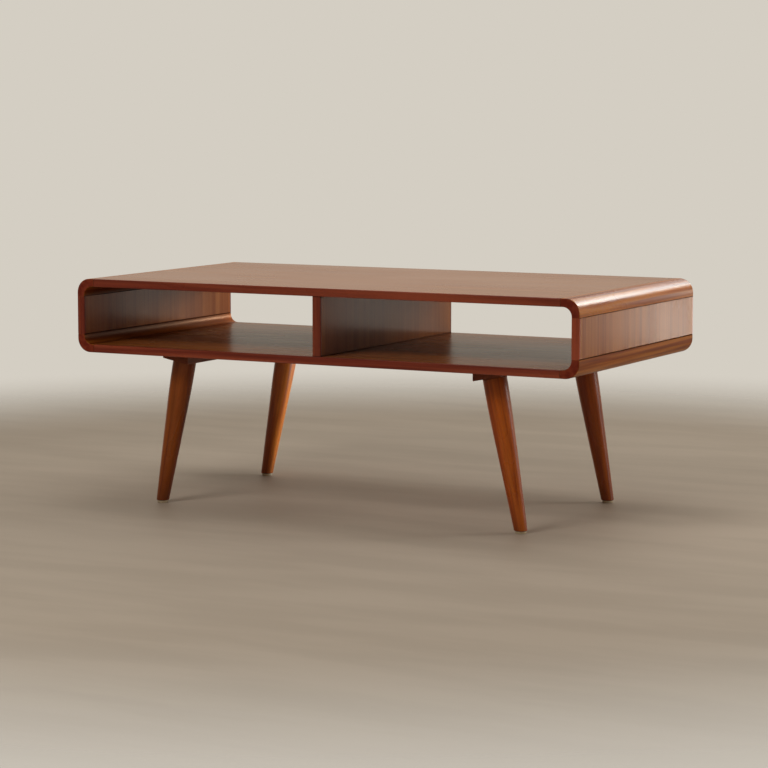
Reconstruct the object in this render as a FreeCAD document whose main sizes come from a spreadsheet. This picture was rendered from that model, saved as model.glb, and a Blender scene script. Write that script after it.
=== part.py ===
import FreeCAD, Part
import math
import os
import Sketcher

# Storage coffee table: an open case with two bays and rounded corners, on four splayed round legs.
# X runs along the width with the right end at +X, the front faces -Y, Z is up.
# The origin is on the floor under the middle of the table.

# Driving sizes, in millimetres and degrees
SIZES = {
    # The whole table
    "table_width": 1100,
    "table_depth": 570,
    "table_height": 455,
    "case_height": 148,
    # Boards and their solid edge strips
    "board_thickness": 16,
    "divider_thickness": 18,
    "divider_setback": 2,
    "lipping_thickness": 5,
    "arris_radius": 1.5,
    "seam_groove": 1,
    # Corner pieces: outer round, inner cove, and the straight lands past the curves
    "corner_radius": 28,
    "cove_radius": 18,
    "corner_top_land": 4,
    "corner_end_land": 2,
    "end_groove": 1.4,
    # Dowels
    "dowel_diameter": 8,
    "dowel_length": 30,
    "dowel_chamfer": 1,
    "dowel_edge_distance": 60,
    "divider_dowel_cover": 5,
    # Room round and behind each peg, screw, bolt and nail
    "fit_clearance": 0.1,
    "end_room": 1,
    # Countersunk screws from the shelf into the divider
    "divider_screw_diameter": 4.5,
    "divider_screw_length": 45,
    "divider_screw_head": 9,
    "divider_screw_edge_distance": 110,
    # Wedge rails under the shelf
    "rail_width": 58,
    "rail_setback": 40,
    "rail_depth": 13.4,
    "rail_arris_radius": 1.2,
    # Pan-head screws from the rails into the shelf
    "rail_screw_diameter": 4,
    "rail_screw_cover": 3,
    "rail_screw_seat": 8,
    "rail_screw_head": 8,
    "rail_screw_head_height": 2.6,
    "rail_screw_leg_distance": 42,
    # Driver recess in the screw heads
    "recess_length": 4.4,
    "recess_width": 1,
    "recess_depth": 1.4,
    # Legs
    "leg_end_distance": 206,
    "leg_edge_distance": 76,
    "leg_splay": 11,
    "leg_top_diameter": 46.4,
    "leg_foot_diameter": 25,
    "leg_shoulder_length": 100,
    "leg_foot_chamfer": 1.2,
    # Hanger bolts and the threaded inserts that take them
    "bolt_diameter": 8,
    "bolt_leg_depth": 40,
    "bolt_chamfer": 1,
    "insert_diameter": 12,
    # Glides and their nails
    "glide_diameter": 21,
    "glide_thickness": 5,
    "glide_round": 1.6,
    "nail_diameter": 2.5,
    "nail_depth": 16,
    "nail_head_diameter": 6,
    "nail_head_thickness": 1.2,
    "nail_head_recess": 1.5,
    # Length by which a cut runs out of the wood
    "overrun": 5,
}

# Dowels in each joint of a board with a corner piece, and in the divider's upper joint
DOWEL_ROW_SHARES = (-1, -0.5, 0, 0.5, 1)
DIVIDER_DOWEL_SHARES = (-1, -0.34, 0.34, 1)
# Screws along the divider and along each rail
DIVIDER_SCREW_SHARES = (-1, 0, 1)
RAIL_SCREW_SHARES = (-1, -0.36, 0.36, 1)

# Slope of a countersunk head's cone, in degrees
COUNTERSINK_ANGLE = 45
# Share of a shank's diameter that its tip loses, and of a pan head's height that is rounded
TIP_CHAMFER_SHARE = 0.33
HEAD_ROUND_SHARE = 0.33

# Distance within which two places count as one
SAME_PLACE = 0.001

RIGHT, LEFT = 1, -1
FRONT, BACK = -1, 1
UPPER, LOWER = 1, -1
SIDE_NAMES = {RIGHT: "right", LEFT: "left"}
DEPTH_NAMES = {FRONT: "front", BACK: "back"}

doc = FreeCAD.newDocument("StorageCoffeeTable")
sheet = doc.addObject("Spreadsheet::Sheet", "Sizes")
for row, (size_name, size) in enumerate(SIZES.items(), start=1):
    sheet.set(f"A{row}", size_name)
    sheet.set(f"B{row}", str(size))
    sheet.setAlias(f"B{row}", size_name)
doc.recompute()

# Places and sizes that follow from the driving ones, as expressions
half_width = "(Sizes.table_width / 2)"
half_depth = "(Sizes.table_depth / 2)"
half_board = "(Sizes.board_thickness / 2)"
case_bottom = "(Sizes.table_height - Sizes.case_height)"
top_board_bottom = "(Sizes.table_height - Sizes.board_thickness)"
curve_reach = "max(Sizes.board_thickness + Sizes.cove_radius; Sizes.corner_radius)"
corner_width = f"({curve_reach} + Sizes.corner_top_land)"
corner_depth = f"({curve_reach} + Sizes.corner_end_land)"
board_half_length = f"({half_width} - {corner_width})"
board_half_depth = f"({half_depth} - Sizes.lipping_thickness)"
end_panel_bottom = f"({case_bottom} + {corner_depth})"
end_panel_height = f"(Sizes.case_height - 2 * {corner_depth})"
end_panel_middle = f"({half_width} - {half_board})"
bay_bottom = f"({case_bottom} + Sizes.board_thickness)"
bay_height = "(Sizes.case_height - 2 * Sizes.board_thickness)"
divider_front = f"({half_depth} - Sizes.divider_setback)"
dowel_hole = "(Sizes.dowel_diameter + 2 * Sizes.fit_clearance)"
dowel_hole_depth = "(Sizes.dowel_length / 2 + Sizes.end_room)"
dowel_row_reach = f"({half_depth} - Sizes.dowel_edge_distance)"
divider_dowel_embed = "(Sizes.board_thickness - Sizes.divider_dowel_cover - Sizes.end_room)"
divider_screw_reach = f"({half_depth} - Sizes.divider_screw_edge_distance)"
divider_screw_hole = "(Sizes.divider_screw_diameter + 2 * Sizes.fit_clearance)"
divider_head_height = "((Sizes.divider_screw_head - Sizes.divider_screw_diameter) / 2)"
leg_x = f"({half_width} - Sizes.leg_end_distance)"
leg_y = f"({half_depth} - Sizes.leg_edge_distance)"
leg_top_z = f"({case_bottom} - Sizes.rail_depth)"
leg_length = f"(({leg_top_z} - Sizes.glide_thickness) / cos(Sizes.leg_splay))"
leg_blank_length = f"({leg_length} + Sizes.leg_foot_diameter * tan(Sizes.leg_splay))"
foot_x = f"({leg_x} + ({leg_top_z} - Sizes.glide_thickness) * tan(Sizes.leg_splay))"
rail_length = "(Sizes.table_depth - 2 * Sizes.rail_setback)"
rail_slope_drop = "(Sizes.rail_width / 2 * tan(Sizes.leg_splay))"
rail_screw_bite = "(Sizes.board_thickness - Sizes.rail_screw_cover - Sizes.end_room)"
rail_screw_reach = f"({leg_y} - Sizes.rail_screw_leg_distance)"
rail_screw_hole = "(Sizes.rail_screw_diameter + 2 * Sizes.fit_clearance)"
rail_screw_head_hole = "(Sizes.rail_screw_head + 2 * Sizes.fit_clearance)"
bolt_hole = "(Sizes.bolt_diameter + 2 * Sizes.fit_clearance)"
insert_hole = "(Sizes.insert_diameter + 2 * Sizes.fit_clearance)"
insert_tilt_rise = "(Sizes.insert_diameter / 2 * sin(Sizes.leg_splay))"
insert_length = f"((Sizes.rail_depth - {insert_tilt_rise}) / cos(Sizes.leg_splay) - Sizes.end_room)"
nail_hole = "(Sizes.nail_diameter + 2 * Sizes.fit_clearance)"
nail_head_hole = "(Sizes.nail_head_diameter + 2 * Sizes.fit_clearance)"
nail_seat_z = "(Sizes.nail_head_recess + Sizes.nail_head_thickness)"

sub_parts = []


# Bodies, sketches and features

def value(expression):
    return float(sheet.evalExpression(expression))


def times(sign, expression):
    return f"{sign} * ({expression})"


def new_body(label, **place):
    """Body with its own label, placed by expressions for x, y and z."""
    body = doc.addObject("PartDesign::Body", label)
    body.Label = label
    for axis, expression in place.items():
        body.setExpression(f"Placement.Base.{axis}", expression)
    sub_parts.append(body)
    return body


def new_sketch(body, role, tilt=None, **offset):
    """Sketch on one of the body's origin planes, moved by expressions and tilted about Y."""
    plane = next(feature for feature in body.Origin.OriginFeatures if feature.Role == role)
    sketch = body.newObject("Sketcher::SketchObject", f"{body.Name}_sketch")
    sketch.AttachmentSupport = [(plane, "")]
    sketch.MapMode = "FlatFace"
    for axis, expression in offset.items():
        sketch.setExpression(f"AttachmentOffset.Base.{axis}", expression)
    if tilt:
        sketch.AttachmentOffset.Rotation = FreeCAD.Rotation(FreeCAD.Vector(0, 1, 0), value(tilt))
        sketch.setExpression("AttachmentOffset.Rotation.Axis.x", "0")
        sketch.setExpression("AttachmentOffset.Rotation.Axis.y", "1")
        sketch.setExpression("AttachmentOffset.Rotation.Axis.z", "0")
        sketch.setExpression("AttachmentOffset.Rotation.Angle", tilt)
    return sketch


def bind(sketch, kind, *arguments, expression):
    """Adds a dimension to the sketch that follows an expression."""
    index = sketch.addConstraint(Sketcher.Constraint(kind, *arguments, value(expression)))
    sketch.setExpression(f"Constraints[{index}]", expression)


def pin_point(sketch, geometry, position, x, y):
    bind(sketch, "DistanceX", -1, 1, geometry, position, expression=x)
    bind(sketch, "DistanceY", -1, 1, geometry, position, expression=y)


def add_circle(sketch, x, y, diameter):
    centre = FreeCAD.Vector(value(x), value(y), 0)
    circle = Part.Circle(centre, FreeCAD.Vector(0, 0, 1), value(diameter) / 2)
    geometry = sketch.addGeometry(circle, False)
    bind(sketch, "Diameter", geometry, expression=diameter)
    pin_point(sketch, geometry, 3, x, y)


def add_arc(sketch, start, stop, centre):
    """Short arc from start to stop; returns its geometry and which of its ends comes first and last."""
    first_angle = math.atan2(start.y - centre.y, start.x - centre.x)
    last_angle = math.atan2(stop.y - centre.y, stop.x - centre.x)
    circle = Part.Circle(centre, FreeCAD.Vector(0, 0, 1), start.distanceToPoint(centre))
    if (last_angle - first_angle) % (2 * math.pi) < math.pi:
        return sketch.addGeometry(Part.ArcOfCircle(circle, first_angle, last_angle), False), 1, 2
    return sketch.addGeometry(Part.ArcOfCircle(circle, last_angle, first_angle), False), 2, 1


def add_outline(sketch, corners, arcs=None):
    """Closed outline through corners; arcs gives centre and radius by the place of an arc's first corner."""
    points = [FreeCAD.Vector(value(x), value(y), 0) for x, y in corners]
    segments = []
    for place, start in enumerate(points):
        stop = points[(place + 1) % len(points)]
        if arcs and place in arcs:
            centre_x, centre_y, radius = arcs[place]
            centre = FreeCAD.Vector(value(centre_x), value(centre_y), 0)
            segments.append(add_arc(sketch, start, stop, centre))
            bind(sketch, "Radius", segments[-1][0], expression=radius)
        else:
            segments.append((sketch.addGeometry(Part.LineSegment(start, stop), False), 1, 2))
    for place, (geometry, first, last) in enumerate(segments):
        following, following_first, _ = segments[(place + 1) % len(segments)]
        sketch.addConstraint(Sketcher.Constraint("Coincident", geometry, last, following, following_first))
        pin_point(sketch, geometry, first, *corners[place])


def add_rectangle(sketch, x_low, x_high, y_low, y_high):
    add_outline(sketch, [(x_low, y_low), (x_high, y_low), (x_high, y_high), (x_low, y_high)])


def add_feature(body, kind, sketch, length, reverse=False, both_ways=False):
    feature = body.newObject(f"PartDesign::{kind}", f"{body.Name}_{kind.lower()}")
    feature.Profile = sketch
    feature.setExpression("Length", length)
    feature.Reversed = reverse
    if both_ways:
        feature.SideType = "Symmetric"
    sketch.Visibility = False
    return feature


def pad(body, sketch, length, **options):
    feature = add_feature(body, "Pad", sketch, length, **options)
    doc.recompute()
    return feature


def pocket(body, sketch, depth, **options):
    """Cut that has to take wood away."""
    before = body.Shape.Volume
    feature = add_feature(body, "Pocket", sketch, depth, **options)
    doc.recompute()
    if body.Shape.Volume >= before:
        raise RuntimeError(f"{body.Label}: {feature.Name} cuts nothing")
    return feature


def dress(body, kind, wanted, **sizes):
    """Fillet or Chamfer on the edges of the body's tip that are wanted."""
    base = body.Tip
    names = [f"Edge{place}" for place, edge in enumerate(base.Shape.Edges, start=1) if wanted(edge)]
    if not names:
        raise RuntimeError(f"{body.Label}: no edge to dress")
    feature = body.newObject(f"PartDesign::{kind}", f"{body.Name}_{kind.lower()}")
    feature.Base = (base, names)
    for size_property, expression in sizes.items():
        feature.setExpression(size_property, expression)
    doc.recompute()
    return feature


def lies_at(edge, axis, place):
    """True for an edge that lies in the plane at a place along an axis."""
    box = edge.BoundBox
    low = getattr(box, f"{axis}Min")
    high = getattr(box, f"{axis}Max")
    return abs(low - place) < SAME_PLACE and abs(high - place) < SAME_PLACE


def runs_along(edge, axis):
    """True for a straight edge along an axis."""
    return abs(getattr(edge.BoundBox, f"{axis}Length") - edge.Length) < SAME_PLACE


def is_round(edge):
    return isinstance(edge.Curve, Part.Circle)


def add_circle_row(sketch, x, shares, reach, diameter):
    """Circles at one x, at shares of a reach along y."""
    for share in shares:
        add_circle(sketch, x, times(share, reach), diameter)


def add_cross(sketch):
    """Outline of a cross-shaped driver recess, made of four quarters each turned from the last."""
    arm = "Sizes.recess_length / 2"
    half = "Sizes.recess_width / 2"
    quarter = [(arm, times(-1, half)), (arm, half), (half, half)]
    corners = []
    for _ in range(4):
        corners += quarter
        quarter = [(times(-1, y), x) for x, y in quarter]
    add_outline(sketch, corners)


# Flat boards

def board_blank(label, z):
    """Top or shelf board between the corner pieces and the edge strips, with its end dowel holes."""
    body = new_body(label, z=z)
    outline = new_sketch(body, "XY_Plane")
    add_rectangle(outline, times(-1, board_half_length), board_half_length,
                  times(-1, board_half_depth), board_half_depth)
    pad(body, outline, "Sizes.board_thickness")
    for side in (RIGHT, LEFT):
        holes = new_sketch(body, "YZ_Plane", z=times(side, board_half_length))
        for share in DOWEL_ROW_SHARES:
            add_circle(holes, times(share, dowel_row_reach), half_board, dowel_hole)
        pocket(body, holes, dowel_hole_depth, reverse=(side == LEFT))
    return body


def make_top_panel():
    body = board_blank("top_panel", top_board_bottom)
    holes = new_sketch(body, "XY_Plane")
    add_circle_row(holes, "0", DIVIDER_DOWEL_SHARES, dowel_row_reach, dowel_hole)
    pocket(body, holes, f"{divider_dowel_embed} + Sizes.end_room", reverse=True)


def make_shelf_panel():
    body = board_blank("shelf_panel", case_bottom)
    holes = new_sketch(body, "XY_Plane")
    add_circle_row(holes, "0", DIVIDER_SCREW_SHARES, divider_screw_reach, divider_screw_hole)
    pocket(body, holes, "Sizes.board_thickness", reverse=True)
    dress(body, "Chamfer", lambda edge: is_round(edge) and lies_at(edge, "Z", 0), Size=divider_head_height)
    for side in (RIGHT, LEFT):
        holes = new_sketch(body, "XY_Plane")
        add_circle_row(holes, times(side, leg_x), RAIL_SCREW_SHARES, rail_screw_reach, rail_screw_hole)
        pocket(body, holes, f"{rail_screw_bite} + Sizes.end_room", reverse=True)


def end_outline(side):
    """Section of an end board, with grooved lower edges, from its outer face at x of zero."""
    groove = "Sizes.end_groove"
    inner = "Sizes.board_thickness"
    corners = [
        ("0", groove),
        (groove, "0"),
        (f"{inner} - {groove}", "0"),
        (inner, groove),
        (inner, end_panel_height),
        ("0", end_panel_height),
    ]
    return [(times(-side, x), y) for x, y in corners]


def make_end_panel(side):
    body = new_body(f"{SIDE_NAMES[side]}_end_panel", x=times(side, half_width), z=end_panel_bottom)
    outline = new_sketch(body, "XZ_Plane")
    add_outline(outline, end_outline(side))
    pad(body, outline, f"2 * {board_half_depth}", both_ways=True)
    for level, upwards in (("0", True), (end_panel_height, False)):
        holes = new_sketch(body, "XY_Plane", z=level)
        add_circle_row(holes, times(-side, half_board), DOWEL_ROW_SHARES, dowel_row_reach, dowel_hole)
        pocket(body, holes, dowel_hole_depth, reverse=upwards)


def make_divider():
    body = new_body("centre_divider", z=bay_bottom)
    outline = new_sketch(body, "XY_Plane")
    half = "Sizes.divider_thickness / 2"
    reach = f"{divider_front} - Sizes.lipping_thickness"
    add_rectangle(outline, times(-1, half), half, times(-1, reach), reach)
    pad(body, outline, bay_height)
    dowels = new_sketch(body, "XY_Plane", z=bay_height)
    add_circle_row(dowels, "0", DIVIDER_DOWEL_SHARES, dowel_row_reach, dowel_hole)
    pocket(body, dowels, f"Sizes.dowel_length - {divider_dowel_embed} + Sizes.end_room")
    screws = new_sketch(body, "XY_Plane")
    add_circle_row(screws, "0", DIVIDER_SCREW_SHARES, divider_screw_reach, divider_screw_hole)
    pocket(body, screws, "Sizes.divider_screw_length - Sizes.board_thickness + Sizes.end_room", reverse=True)


# Solid edge strips

def make_board_lipping(label, depth_side, z):
    """Strip along the front or back of the top or the shelf, with a small groove at each end seam."""
    body = new_body(label, y=times(depth_side, board_half_depth), z=z)
    outline = new_sketch(body, "XY_Plane")
    face = "Sizes.lipping_thickness"
    groove = "Sizes.seam_groove"
    corners = [
        (times(-1, board_half_length), "0"),
        (times(-1, board_half_length), f"{face} - {groove}"),
        (f"-1 * {board_half_length} + {groove}", face),
        (f"{board_half_length} - {groove}", face),
        (board_half_length, f"{face} - {groove}"),
        (board_half_length, "0"),
    ]
    add_outline(outline, [(x, times(depth_side, y)) for x, y in corners])
    pad(body, outline, "Sizes.board_thickness")
    face_y = depth_side * value(face)
    dress(body, "Fillet", lambda edge: lies_at(edge, "Y", face_y) and runs_along(edge, "X"),
          Radius="Sizes.arris_radius")


def make_end_lipping(side, depth_side):
    label = f"{SIDE_NAMES[side]}_end_{DEPTH_NAMES[depth_side]}_lipping"
    body = new_body(label, x=times(side, half_width), y=times(depth_side, board_half_depth),
                    z=end_panel_bottom)
    outline = new_sketch(body, "XZ_Plane")
    add_outline(outline, end_outline(side))
    pad(body, outline, "Sizes.lipping_thickness", reverse=(depth_side == BACK))
    face_y = depth_side * value("Sizes.lipping_thickness")
    dress(body, "Fillet", lambda edge: lies_at(edge, "Y", face_y) and runs_along(edge, "Z"),
          Radius="Sizes.arris_radius")


def make_divider_lipping(depth_side):
    label = f"divider_{DEPTH_NAMES[depth_side]}_lipping"
    back_face = f"{divider_front} - Sizes.lipping_thickness"
    body = new_body(label, y=times(depth_side, back_face), z=bay_bottom)
    outline = new_sketch(body, "XY_Plane")
    half = "Sizes.divider_thickness / 2"
    reach = times(depth_side, "Sizes.lipping_thickness")
    add_rectangle(outline, times(-1, half), half, "0", reach)
    pad(body, outline, bay_height)
    face_y = depth_side * value("Sizes.lipping_thickness")
    dress(body, "Fillet", lambda edge: lies_at(edge, "Y", face_y) and runs_along(edge, "Z"),
          Radius="Sizes.arris_radius")


# Corner pieces

def corner_outline(side, level):
    """Section of a corner piece, from the case's outer corner, and its two arcs."""
    round_size = "Sizes.corner_radius"
    wall = "Sizes.board_thickness"
    cove_end = f"({wall} + Sizes.cove_radius)"
    groove = "Sizes.end_groove"
    corners = [
        (corner_width, "0"),
        (round_size, "0"),
        ("0", round_size),
        ("0", f"{corner_depth} - {groove}"),
        (groove, corner_depth),
        (f"{wall} - {groove}", corner_depth),
        (wall, f"{corner_depth} - {groove}"),
        (wall, cove_end),
        (cove_end, wall),
        (corner_width, wall),
    ]
    arcs = {
        1: (round_size, round_size, round_size),
        7: (cove_end, cove_end, "Sizes.cove_radius"),
    }
    turned = [(times(-side, x), times(-level, z)) for x, z in corners]
    turned_arcs = {place: (times(-side, x), times(-level, z), radius)
                   for place, (x, z, radius) in arcs.items()}
    return turned, turned_arcs


def make_corner(side, level):
    label = f"corner_{'top' if level == UPPER else 'bottom'}_{SIDE_NAMES[side]}"
    outer_z = "Sizes.table_height" if level == UPPER else case_bottom
    body = new_body(label, x=times(side, half_width), z=outer_z)
    outline = new_sketch(body, "XZ_Plane")
    add_outline(outline, *corner_outline(side, level))
    pad(body, outline, "Sizes.table_depth", both_ways=True)

    joint_x = -side * value(corner_width)
    groove_z = -level * (value(corner_depth) - value("Sizes.end_groove"))

    def is_arris(edge):
        on_face = any(lies_at(edge, "Y", face * value(half_depth)) for face in (FRONT, BACK))
        middle = edge.CenterOfMass
        inside_joint = level * (middle.z - groove_z) > SAME_PLACE
        return on_face and inside_joint and not lies_at(edge, "X", joint_x)

    dress(body, "Fillet", is_arris, Radius="Sizes.arris_radius")

    board_holes = new_sketch(body, "YZ_Plane", z=times(-side, corner_width))
    for share in DOWEL_ROW_SHARES:
        add_circle(board_holes, times(share, dowel_row_reach), times(-level, half_board), dowel_hole)
    pocket(body, board_holes, dowel_hole_depth, reverse=(side == RIGHT))
    end_holes = new_sketch(body, "XY_Plane", z=times(-level, corner_depth))
    add_circle_row(end_holes, times(-side, half_board), DOWEL_ROW_SHARES, dowel_row_reach, dowel_hole)
    pocket(body, end_holes, dowel_hole_depth, reverse=(level == UPPER))


# Dowels

def chamfer_ends(body, size):
    dress(body, "Chamfer", is_round, Size=size)


def make_board_dowels(label, board_z):
    """Dowels across both end joints of the top or the shelf."""
    body = new_body(label, z=f"{board_z} + {half_board}")
    for side in (RIGHT, LEFT):
        start = f"{side} * {board_half_length} - Sizes.dowel_length / 2"
        circles = new_sketch(body, "YZ_Plane", z=start)
        for share in DOWEL_ROW_SHARES:
            add_circle(circles, times(share, dowel_row_reach), "0", "Sizes.dowel_diameter")
        pad(body, circles, "Sizes.dowel_length")
    chamfer_ends(body, "Sizes.dowel_chamfer")


def make_end_dowels():
    """Upright dowels across the four joints of the ends with the corner pieces."""
    body = new_body("end_joint_dowels", z=end_panel_bottom)
    for joint in ("0", end_panel_height):
        circles = new_sketch(body, "XY_Plane", z=f"{joint} - Sizes.dowel_length / 2")
        for side in (RIGHT, LEFT):
            add_circle_row(circles, times(side, end_panel_middle), DOWEL_ROW_SHARES, dowel_row_reach,
                           "Sizes.dowel_diameter")
        pad(body, circles, "Sizes.dowel_length")
    chamfer_ends(body, "Sizes.dowel_chamfer")


def make_divider_dowels():
    bottom = f"{bay_bottom} + {bay_height} + {divider_dowel_embed} - Sizes.dowel_length"
    body = new_body("divider_dowels", z=bottom)
    circles = new_sketch(body, "XY_Plane")
    add_circle_row(circles, "0", DIVIDER_DOWEL_SHARES, dowel_row_reach, "Sizes.dowel_diameter")
    pad(body, circles, "Sizes.dowel_length")
    chamfer_ends(body, "Sizes.dowel_chamfer")


# Screws

def cut_recesses(body, places):
    """Driver recesses in screw heads, up from the body's origin plane."""
    for x, y in places:
        cross = new_sketch(body, "XY_Plane", x=x, y=y)
        add_cross(cross)
        pocket(body, cross, "Sizes.recess_depth", reverse=True)


def make_divider_screws():
    """Countersunk screws, flush with the underside of the shelf."""
    body = new_body("divider_screws", z=case_bottom)
    shanks = new_sketch(body, "XY_Plane")
    add_circle_row(shanks, "0", DIVIDER_SCREW_SHARES, divider_screw_reach, "Sizes.divider_screw_diameter")
    pad(body, shanks, "Sizes.divider_screw_length")
    tip_z = value("Sizes.divider_screw_length")
    dress(body, "Chamfer", lambda edge: is_round(edge) and lies_at(edge, "Z", tip_z),
          Size=f"{TIP_CHAMFER_SHARE} * Sizes.divider_screw_diameter")
    heads = new_sketch(body, "XY_Plane")
    add_circle_row(heads, "0", DIVIDER_SCREW_SHARES, divider_screw_reach, "Sizes.divider_screw_head")
    cones = pad(body, heads, divider_head_height)
    cones.TaperAngle = -COUNTERSINK_ANGLE
    doc.recompute()
    cut_recesses(body, [("0", times(share, divider_screw_reach)) for share in DIVIDER_SCREW_SHARES])


def make_rail_screws():
    """Pan-head screws sunk in the rails, their heads against the seats in the wood."""
    head_bottom = f"{case_bottom} - Sizes.rail_screw_seat - Sizes.rail_screw_head_height"
    body = new_body("rail_screws", z=head_bottom)
    shank_length = f"Sizes.rail_screw_head_height + Sizes.rail_screw_seat + {rail_screw_bite}"
    for diameter, length in (("Sizes.rail_screw_diameter", shank_length),
                             ("Sizes.rail_screw_head", "Sizes.rail_screw_head_height")):
        circles = new_sketch(body, "XY_Plane")
        for side in (RIGHT, LEFT):
            add_circle_row(circles, times(side, leg_x), RAIL_SCREW_SHARES, rail_screw_reach, diameter)
        pad(body, circles, length)
    tip_z = value(shank_length)
    dress(body, "Chamfer", lambda edge: is_round(edge) and lies_at(edge, "Z", tip_z),
          Size=f"{TIP_CHAMFER_SHARE} * Sizes.rail_screw_diameter")
    dress(body, "Fillet", lambda edge: is_round(edge) and lies_at(edge, "Z", 0),
          Radius=f"{HEAD_ROUND_SHARE} * Sizes.rail_screw_head_height")
    cut_recesses(body, [(times(side, leg_x), times(share, rail_screw_reach))
                        for side in (RIGHT, LEFT) for share in RAIL_SCREW_SHARES])


# Rails, legs and what holds them

def leg_sketch(body, side):
    """Sketch on the sloping plane where the legs of one side meet their rail."""
    lean = times(-side, "Sizes.leg_splay")
    return new_sketch(body, "XY_Plane", tilt=lean, x=times(side, leg_x), z=leg_top_z)


def add_leg_circles(sketch, diameter):
    for depth_side in (FRONT, BACK):
        add_circle(sketch, "0", times(depth_side, leg_y), diameter)


def make_rail(side):
    """Wedge from front to back under the shelf, with a lower face square to the legs."""
    body = new_body(f"{SIDE_NAMES[side]}_leg_rail")
    outline = new_sketch(body, "XZ_Plane")
    inner = f"{leg_x} - Sizes.rail_width / 2"
    outer = f"{leg_x} + Sizes.rail_width / 2"
    corners = [
        (inner, case_bottom),
        (outer, case_bottom),
        (outer, f"{leg_top_z} + {rail_slope_drop}"),
        (inner, f"{leg_top_z} - {rail_slope_drop}"),
    ]
    add_outline(outline, [(times(side, x), z) for x, z in corners])
    pad(body, outline, rail_length, both_ways=True)
    dress(body, "Fillet", lambda edge: runs_along(edge, "Y") and not lies_at(edge, "Z", value(case_bottom)),
          Radius="Sizes.rail_arris_radius")
    inserts = leg_sketch(body, side)
    add_leg_circles(inserts, insert_hole)
    pocket(body, inserts, "Sizes.rail_depth + Sizes.overrun", reverse=True)
    shanks = new_sketch(body, "XY_Plane", z=case_bottom)
    add_circle_row(shanks, times(side, leg_x), RAIL_SCREW_SHARES, rail_screw_reach, rail_screw_hole)
    pocket(body, shanks, "Sizes.rail_depth + Sizes.overrun")
    heads = new_sketch(body, "XY_Plane", z=f"{case_bottom} - Sizes.rail_screw_seat")
    add_circle_row(heads, times(side, leg_x), RAIL_SCREW_SHARES, rail_screw_reach, rail_screw_head_hole)
    pocket(body, heads, "Sizes.rail_depth + Sizes.overrun")


def add_leg_profile(sketch):
    """Half section of a leg: a straight taper that a long arc eases into the top."""
    top_radius = "Sizes.leg_top_diameter / 2"
    foot_radius = "Sizes.leg_foot_diameter / 2"
    shoulder = "Sizes.leg_shoulder_length"
    # The arc starts upright at the top and takes on the taper at the shoulder.
    gain = value(top_radius) - value(foot_radius)
    half_turn = math.atan(gain / (2 * value(leg_blank_length) - value(shoulder)))
    arc_radius = value(shoulder) / math.sin(2 * half_turn)
    top = FreeCAD.Vector(value(top_radius), 0, 0)
    centre = FreeCAD.Vector(top.x - arc_radius, 0, 0)
    neck = FreeCAD.Vector(top.x - value(shoulder) * math.tan(half_turn), -value(shoulder), 0)
    foot = FreeCAD.Vector(value(foot_radius), -value(leg_blank_length), 0)
    axis_foot = FreeCAD.Vector(0, foot.y, 0)
    axis_top = FreeCAD.Vector(0, 0, 0)
    arc, arc_top, arc_neck = add_arc(sketch, top, neck, centre)
    taper = sketch.addGeometry(Part.LineSegment(neck, foot), False)
    end = sketch.addGeometry(Part.LineSegment(foot, axis_foot), False)
    axis = sketch.addGeometry(Part.LineSegment(axis_foot, axis_top), False)
    cap = sketch.addGeometry(Part.LineSegment(axis_top, top), False)
    sketch.addConstraint(Sketcher.Constraint("Tangent", arc, arc_neck, taper, 1))
    sketch.addConstraint(Sketcher.Constraint("Coincident", taper, 2, end, 1))
    sketch.addConstraint(Sketcher.Constraint("Coincident", end, 2, axis, 1))
    sketch.addConstraint(Sketcher.Constraint("Coincident", axis, 2, cap, 1))
    sketch.addConstraint(Sketcher.Constraint("Coincident", cap, 2, arc, arc_top))
    sketch.addConstraint(Sketcher.Constraint("Coincident", axis, 2, -1, 1))
    sketch.addConstraint(Sketcher.Constraint("Vertical", axis))
    sketch.addConstraint(Sketcher.Constraint("Horizontal", cap))
    sketch.addConstraint(Sketcher.Constraint("Horizontal", end))
    sketch.addConstraint(Sketcher.Constraint("PointOnObject", arc, 3, -1))
    bind(sketch, "DistanceX", -1, 1, arc, arc_top, expression=top_radius)
    bind(sketch, "DistanceY", arc, arc_neck, -1, 1, expression=shoulder)
    bind(sketch, "DistanceX", axis, 1, taper, 2, expression=foot_radius)
    bind(sketch, "DistanceY", axis, 1, axis, 2, expression=leg_blank_length)


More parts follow.
